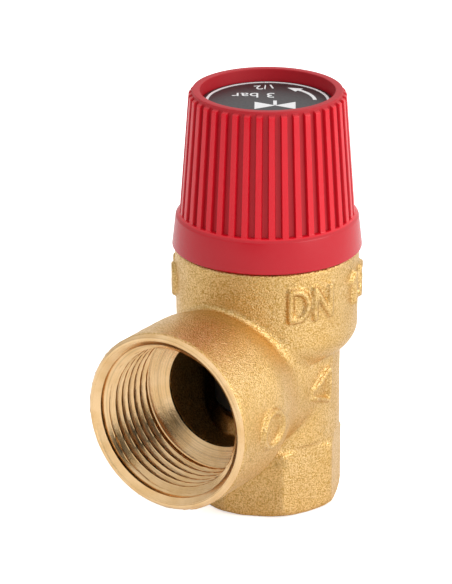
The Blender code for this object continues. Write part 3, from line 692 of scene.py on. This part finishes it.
HUB_R = 7.0
POCKET_R = 6.0
HUB_LOW = 62.4
SPINDLE_HOLE_R = 3.0


def grip_run(inner_low, inner_high, count=7):
    """Points down the grip between its upper and lower ends."""
    return [(inner_high + (inner_low - inner_high) * s, GRIP_TOP + (LEDGE_TOP - GRIP_TOP) * s)
            for s in np.linspace(0, 1, count)]


def cap_outline(low_r, high_r):
    """The cap's section with its grip at the given radii, rim first, then round to the pocket."""
    return ([(POCKET_R, RECESS_FLOOR), (RECESS_R, RECESS_FLOOR), (RECESS_R, CAP_TOP),
             (RIM_R, CAP_TOP), (RIM_R, GRIP_TOP + 0.3)] + grip_run(low_r, high_r)
            + [(GROOVE_R_LOW + RIB_HEIGHT + 0.12, LEDGE_TOP - 0.06), (FLANGE_TOP_R, FLANGE_TOP),
               (FLANGE_R, FLANGE_Z), (SKIRT_IN_R, FLANGE_Z), (SKIRT_IN_R, FLANGE_TOP - 1),
               (GROOVE_R_LOW - CAP_WALL, FLANGE_TOP + 1), (GROOVE_R_HIGH - CAP_WALL, DECK_LOW),
               (HUB_R, DECK_LOW), (HUB_R, HUB_LOW), (SPINDLE_HOLE_R, HUB_LOW),
               (SPINDLE_HOLE_R, HUB_LOW + 1), (POCKET_R, HUB_LOW + 1)])


groove_rows = eased(cap_outline(GROOVE_R_LOW, GROOVE_R_HIGH), 0.16)
rib_rows = eased(cap_outline(GROOVE_R_LOW + RIB_HEIGHT, GROOVE_R_HIGH + RIB_HEIGHT), 0.16)
# Places round one rib, as shares of its period: close together where the rib's sides are.
half = np.array([0.0, 0.1, 0.19, 0.222, 0.24, 0.254, 0.266, 0.278, 0.292, 0.315, 0.4])
period = np.concatenate([half, [0.5], -half[:0:-1]])
height = smooth_step((RIB_FOOT - np.abs(period)) / RIB_SIDE)
turn = (RIB_PHASE + 2 * math.pi / RIBS * (np.arange(RIBS)[:, None] + period[None, :])).ravel()
turn_grid = np.repeat(turn[None, :], len(groove_rows), axis=0)
share = np.tile(height, RIBS)[None, :]
radius = groove_rows[:, :1] + share * (rib_rows[:, :1] - groove_rows[:, :1])
along = groove_rows[:, 1:] + share * (rib_rows[:, 1:] - groove_rows[:, 1:])
order = np.argsort(turn)
points, quads = ring_skin(radius[:, order], along[:, order], turn_grid[:, order], (1, 0, 0),
                          (0, 1, 0), (0, 0, 1), (0, 0, 0))
cap = put_mesh("test_cap", points, quads, "test_cap", 50)


def red_plastic():
    """Injection-moulded ABS: red, glossy on the ribs and flange where the mould was polished and
    fingers rub, duller in the grooves, with faint flow shading. The grooves, and everything inside
    their bottoms' line, are painted a darker red as painted shade, and the flange a darker red too.
    """
    made, tree, shader, where = new_finish("red_abs", Metallic=0.0, IOR=1.46)
    flow = add_node(tree, "TexNoise", {"Vector": where, "Scale": 1 / (7 * MM), "Detail": 3.0})
    spark = add_node(tree, "TexNoise", {"Vector": where, "Scale": 1 / (0.35 * MM), "Detail": 2.0})
    parts = add_node(tree, "SeparateXYZ", {0: where})
    square = [add_node(tree, "Math", {0: parts.outputs[side], 1: 2.0}, operation="POWER").outputs[0]
              for side in "XY"]
    total = add_node(tree, "Math", {0: square[0], 1: square[1]}, operation="ADD")
    radius = add_node(tree, "Math", {0: total.outputs[0]}, operation="SQRT")
    groove = add_node(tree, "MapRange", {"Value": parts.outputs["Z"], "From Min": LEDGE_TOP * MM,
                                         "From Max": GRIP_TOP * MM, "To Min": GROOVE_R_LOW * MM,
                                         "To Max": GROOVE_R_HIGH * MM})
    above = add_node(tree, "Math", {0: radius.outputs[0], 1: groove.outputs["Result"]},
                     operation="SUBTRACT")
    # crest is 0 at and inside the line of the grooves' bottoms and 1 on the ribs and flange: it sets
    # the gloss and also places the painted shade below.
    crest = add_node(tree, "MapRange", {"Value": above.outputs[0], "From Min": 0.1 * MM,
                                        "From Max": RIB_HEIGHT * MM})
    tint = add_node(tree, "Mix", {0: flow.outputs["Fac"], 6: linear("#E00C24"),
                                  7: linear("#D20A20")}, data_type="RGBA")
    # Painted shade: where crest is 0, in the grooves and also on the rim's top and in the recess, the
    # red is darkened to #B40A1C.
    tint = add_node(tree, "Mix", {0: crest.outputs["Result"], 6: linear("#B40A1C"),
                                  7: tint.outputs[2]}, data_type="RGBA")
    # Painted shade: the flange, the same plastic as the ribs, is coloured the darker #BE0A1E.
    flange = add_node(tree, "MapRange", {"Value": above.outputs[0], "From Min": 0.9 * MM,
                                         "From Max": 1.1 * MM})
    tint = add_node(tree, "Mix", {0: flange.outputs["Result"], 6: tint.outputs[2],
                                  7: linear("#BE0A1E")}, data_type="RGBA")
    tree.links.new(tint.outputs[2], shader.inputs["Base Color"])
    rough = add_node(tree, "MapRange", {"Value": crest.outputs["Result"], "To Min": 0.55,
                                        "To Max": 0.27})
    tree.links.new(rough.outputs["Result"], shader.inputs["Roughness"])
    bump = add_node(tree, "Bump", {"Height": spark.outputs["Fac"], "Strength": 0.3,
                                   "Distance": 0.015 * MM})
    tree.links.new(bump.outputs["Normal"], shader.inputs["Normal"])
    return made


red = red_plastic()
cap.data.materials.append(red)
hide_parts("cap")


# ------------------------------------------------------------------------------------------------
# The cap's cams: four ramps moulded under its deck in the same shot. They climb the bonnet's
# ramps as the cap is turned, and so the cap lifts the spindle.
# ------------------------------------------------------------------------------------------------
CAMS = 4
CAM_RISE = 2.4
CAM_START = math.radians(3.0)
CAM_STEPS = 16
CAM_IN_R, CAM_OUT_R = 9.2, 10.3

cam_steps = (np.concatenate([np.linspace(0.004, 0.996, CAM_STEPS)] * CAMS)
             + np.repeat(range(CAMS), CAM_STEPS))
turn = CAM_START + cam_steps * 2 * math.pi / CAMS
low = HUB_LOW - 0.02 + CAM_RISE * (cam_steps % 1.0)
ones = np.ones_like(turn)
radius = np.stack([CAM_IN_R * ones, CAM_OUT_R * ones, CAM_OUT_R * ones, CAM_IN_R * ones])
along = np.stack([DECK_LOW + 0.4 * ones, DECK_LOW + 0.4 * ones, low, low])
points, quads = ring_skin(radius, along, np.repeat(turn[None, :], 4, axis=0), (1, 0, 0), (0, 1, 0),
                          (0, 0, 1), (0, 0, 0))
cams = put_mesh("cap_cams", points, quads, "test_cap", 30)
cams.data.materials.append(red)
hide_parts("cap")


# ------------------------------------------------------------------------------------------------
# The label: a thin black plastic disc pressed into the cap, printed in white with a ring, an arrow
# for the opening direction, a valve sign and plain ratings. Only generic signs are printed.
# ------------------------------------------------------------------------------------------------
label_low, label_high = (Vector(corner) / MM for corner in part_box("label_disc"))
LABEL_R = label_high.x
LABEL_TOP = label_high.z
PRINT_T, PRINT_SUNK = 0.04, 0.02  # the ink stands up by one and reaches down by the other
RING_OUT, RING_IN = 10.36, 9.9
RING_STEPS = 160


def disc_skin(outline, steps):
    """A closed turned disc: the outline (radius, height) from the axis out and back to it."""
    outline = np.array(outline)
    rows = outline[1:-1]
    turn = np.linspace(0, 2 * math.pi, steps, endpoint=False)
    points = np.stack([rows[:, :1] * np.cos(turn), rows[:, :1] * np.sin(turn),
                       np.repeat(rows[:, 1:], steps, axis=1)], axis=-1).reshape(-1, 3)
    points = np.concatenate([points, [(0, 0, outline[0, 1]), (0, 0, outline[-1, 1])]])
    row, column = np.mgrid[0:len(rows) - 1, 0:steps]
    after = (column + 1) % steps
    quads = np.stack([row * steps + column, (row + 1) * steps + column,
                      (row + 1) * steps + after, row * steps + after], axis=-1).reshape(-1, 4)
    here, there = np.arange(steps), (np.arange(steps) + 1) % steps
    last = (len(rows) - 1) * steps
    top = np.stack([np.full(steps, len(points) - 2), here, there], axis=1)
    bottom = np.stack([last + there, last + here, np.full(steps, len(points) - 1)], axis=1)
    return points, list(quads) + list(top) + list(bottom)


points, faces = disc_skin([(0, LABEL_TOP), (LABEL_R - 0.25, LABEL_TOP),
                           (LABEL_R - 0.08, LABEL_TOP - 0.03), (LABEL_R, LABEL_TOP - 0.12),
                           (LABEL_R, label_low.z), (0, label_low.z)], 128)
label = put_mesh("label", points, faces, "test_cap", 40)
# Black plastic, whose satin gloss is uneven from fine dust.
label_finish, tree, shader, where = new_finish("black_label", IOR=1.5)
dust = add_node(tree, "TexNoise", {"Vector": where, "Scale": 1 / (0.5 * MM), "Detail": 4.0})
tint = add_node(tree, "Mix", {0: dust.outputs["Fac"], 6: linear("#141416"),
                              7: linear("#202023")}, data_type="RGBA")
tree.links.new(tint.outputs[2], shader.inputs["Base Color"])
rough = add_node(tree, "MapRange", {"Value": dust.outputs["Fac"], "To Min": 0.3, "To Max": 0.5})
tree.links.new(rough.outputs["Result"], shader.inputs["Roughness"])
label.data.materials.append(label_finish)
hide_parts("label_disc")

# White screen-printing ink, opaque and matt, a little thinner in places.
white_ink, tree, shader, where = new_finish("white_ink", IOR=1.5)
thin = add_node(tree, "TexNoise", {"Vector": where, "Scale": 1 / (0.4 * MM), "Detail": 3.0})
tint = add_node(tree, "Mix", {0: thin.outputs["Fac"], 6: linear("#D9DADB"),
                              7: linear("#F2F2F2")}, data_type="RGBA")
tree.links.new(tint.outputs[2], shader.inputs["Base Color"])
rough = add_node(tree, "MapRange", {"Value": thin.outputs["Fac"], "To Min": 0.4, "To Max": 0.6})
tree.links.new(rough.outputs["Result"], shader.inputs["Roughness"])


def print_piece(name, points, faces):
    """A printed sign, as a thin raised layer on the label."""
    piece = put_mesh(name, points, faces, "test_cap", 30)
    piece.data.materials.append(white_ink)
    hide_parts("label_disc")
    return piece


def plate_skin(outline, low, high):
    """A flat plate: a closed outline (x, y), counter-clockwise, between two heights."""
    count = len(outline)
    points = [(x, y, z) for z in (high, low) for x, y in outline]
    sides = [(i, i + count, (i + 1) % count + count, (i + 1) % count) for i in range(count)]
    return points, [tuple(range(count)), tuple(reversed(range(count, 2 * count)))] + sides


def arc_band(inner, outer, first, last, count):
    """Outline of a bent band between two radii and two angles in degrees."""
    return (arc(0, 0, outer, outer, first, last, count)
            + arc(0, 0, inner, inner, last, first, count))


def in_print(outline):
    """The outline as a flat sign in the ink's thickness."""
    return plate_skin(outline, LABEL_TOP - PRINT_SUNK, LABEL_TOP + PRINT_T)


ring_rows = np.array([(RING_IN, LABEL_TOP + PRINT_T), (RING_OUT, LABEL_TOP + PRINT_T),
                      (RING_OUT, LABEL_TOP - PRINT_SUNK), (RING_IN, LABEL_TOP - PRINT_SUNK)])
turn = np.linspace(0, 2 * math.pi, RING_STEPS, endpoint=False)
points, quads = ring_skin(np.repeat(ring_rows[:, :1], RING_STEPS, axis=1),
                          np.repeat(ring_rows[:, 1:], RING_STEPS, axis=1),
                          np.repeat(turn[None, :], 4, axis=0), (1, 0, 0), (0, 1, 0), (0, 0, 1),
                          (0, 0, 0))
print_piece("label_ring", points, quads)

ARROW_R, ARROW_HALF, HEAD_HALF, HEAD_LONG = 7.9, 0.3, 1.0, 0.3  # the head's length is in radians
ARROW_FROM, ARROW_TO = 36, 80
print_piece("arrow_shaft", *in_print(arc_band(ARROW_R - ARROW_HALF, ARROW_R + ARROW_HALF,
                                              ARROW_FROM, ARROW_TO, 16)))
head_at = math.radians(ARROW_TO)
head = [(r * math.cos(a), r * math.sin(a))
        for r, a in ((ARROW_R - HEAD_HALF, head_at), (ARROW_R + HEAD_HALF, head_at),
                     (ARROW_R, head_at + HEAD_LONG))]
print_piece("arrow_head", *in_print(head))
SIGN_W, SIGN_H = 3.4, 1.9
SIGN_TURN = math.radians(32)
SIGN_X, SIGN_Y = 2.4, -1.5


def in_sign(outline):
    """The outline moved and turned to the valve sign's place on the label."""
    swing = Matrix.Rotation(SIGN_TURN, 2)
    return in_print([tuple(swing @ Vector(corner) + Vector((SIGN_X, SIGN_Y)))
                     for corner in outline])


print_piece("valve_sign_left", *in_sign([(-SIGN_W, -SIGN_H), (0, 0), (-SIGN_W, SIGN_H)]))
print_piece("valve_sign_right", *in_sign([(SIGN_W, SIGN_H), (0, 0), (SIGN_W, -SIGN_H)]))
print_piece("valve_sign_stem", *in_sign([(-0.3, 0.3), (0.3, 0.3), (0.3, 2.6), (-0.3, 2.6)]))


def printed_text(name, text, size, x, y, degrees):
    """Generic printed characters, made a mesh and turned to read from the back of the valve."""
    curve = bpy.data.curves.new(name, "FONT")
    curve.body = text
    curve.size = size * MM
    curve.align_x = "CENTER"
    curve.align_y = "CENTER"
    curve.extrude = PRINT_T / 2 * MM
    curve.resolution_u = 4
    holder = bpy.data.objects.new(name + "_curve", curve)
    bpy.context.scene.collection.objects.link(holder)
    bpy.context.view_layer.update()
    mesh = bpy.data.meshes.new_from_object(holder.evaluated_get(
        bpy.context.evaluated_depsgraph_get()))
    bpy.data.objects.remove(holder)
    mesh.name = name
    mesh.transform(Matrix.Translation((x * MM, y * MM, (LABEL_TOP + PRINT_T / 2) * MM))
                   @ Matrix.Rotation(math.radians(degrees), 4, "Z"))
    mesh.materials.clear()
    mesh.materials.append(white_ink)
    piece = bpy.data.objects.new(name, mesh)
    bpy.context.scene.collection.objects.link(piece)
    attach(piece, "test_cap")
    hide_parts("label_disc")
    return piece


printed_text("rating_pressure", "3 bar", 3.5, -3.6, 1.4, 212)
printed_text("rating_size", "1/2", 2.9, -4.4, 6.2, 225)


# ------------------------------------------------------------------------------------------------
# The studio: pale paper floor, a white tent that is open on one side, one soft light on the right
# and the camera. Places and sizes are in metres and angles in radians.
# ------------------------------------------------------------------------------------------------
FLOOR_HALF = 3.0
FLOOR_Z = -0.0001
floor_mesh = bpy.data.meshes.new("floor")
floor_mesh.from_pydata([(x * FLOOR_HALF, y * FLOOR_HALF, FLOOR_Z)
                        for x, y in ((-1, -1), (1, -1), (1, 1), (-1, 1))], [], [(0, 1, 2, 3)])
floor = bpy.data.objects.new("floor", floor_mesh)
bpy.context.scene.collection.objects.link(floor)
paper, tree, shader, where = new_finish("white_paper", Roughness=0.9)
shader.inputs["Base Color"].default_value = linear("#FAFAFA")
shader.inputs["Emission Color"].default_value = linear("#FFFFFF")
# The glow is for the camera only: it keeps the floor pale and adds no light.
seen = add_node(tree, "LightPath", {})
glow = add_node(tree, "Math", {0: seen.outputs["Is Camera Ray"], 1: 0.6}, operation="MULTIPLY")
tree.links.new(glow.outputs[0], shader.inputs["Emission Strength"])
floor_mesh.materials.append(paper)
floor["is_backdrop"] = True

KEY_SIDE = (0.55, 0.38, 0.68)  # the tent is brightest above the valve, towards its right
DARK_SIDE = (0.24, -0.957, 0.16)  # the open side of the tent, which the outlet faces
world = bpy.data.worlds.new("studio")
world.use_nodes = True
tree = world.node_tree
background = tree.nodes["Background"]
side = add_node(tree, "TexCoord", {})
glow = add_node(tree, "VectorMath", {0: side.outputs["Generated"], 1: KEY_SIDE},
                operation="DOT_PRODUCT")
level = add_node(tree, "MapRange", {"Value": glow.outputs["Value"], "From Min": -0.75,
                                    "From Max": 0.95, "To Min": 0.48, "To Max": 1.28})
open_side = add_node(tree, "VectorMath", {0: side.outputs["Generated"], 1: DARK_SIDE},
                     operation="DOT_PRODUCT")
shade = add_node(tree, "MapRange", {"Value": open_side.outputs["Value"], "From Min": 0.95,
                                    "From Max": 0.975, "To Min": 1.0, "To Max": 0.05})
level = add_node(tree, "Math", {0: level.outputs["Result"], 1: shade.outputs["Result"]},
                 operation="MULTIPLY")
tree.links.new(level.outputs[0], background.inputs["Strength"])
background.inputs["Color"].default_value = (1.0, 1.0, 1.0, 1.0)
bpy.context.scene.world = world
bpy.context.scene.view_settings.view_transform = "Standard"

LAMP_AT = Vector((0.42, 0.02, 0.20))
LAMP_FACES = Vector((0, 0, 0.035))
lamp = bpy.data.lights.new("key_right", "AREA")
lamp.energy = 0.6
lamp.size = 0.30
holder = bpy.data.objects.new("key_right", lamp)
holder.location = LAMP_AT
holder.rotation_euler = (LAMP_FACES - LAMP_AT).to_track_quat("-Z", "Y").to_euler()
bpy.context.scene.collection.objects.link(holder)

CAMERA_AT = (0.36632, -0.58654, 0.292315)
CAMERA_TURN = 0.5682687
CAMERA_DOWN = 0.35477679  # how far the camera looks down from level
camera = bpy.data.cameras.new("camera")
camera.sensor_fit = "AUTO"
camera.sensor_width = 36.0
camera.lens = 269.0
view = bpy.data.objects.new("camera", camera)
view.location = CAMERA_AT
view.rotation_euler = (math.pi / 2 - CAMERA_DOWN, 0.0, CAMERA_TURN)
bpy.context.scene.collection.objects.link(view)
bpy.context.scene.camera = view

low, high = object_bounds()
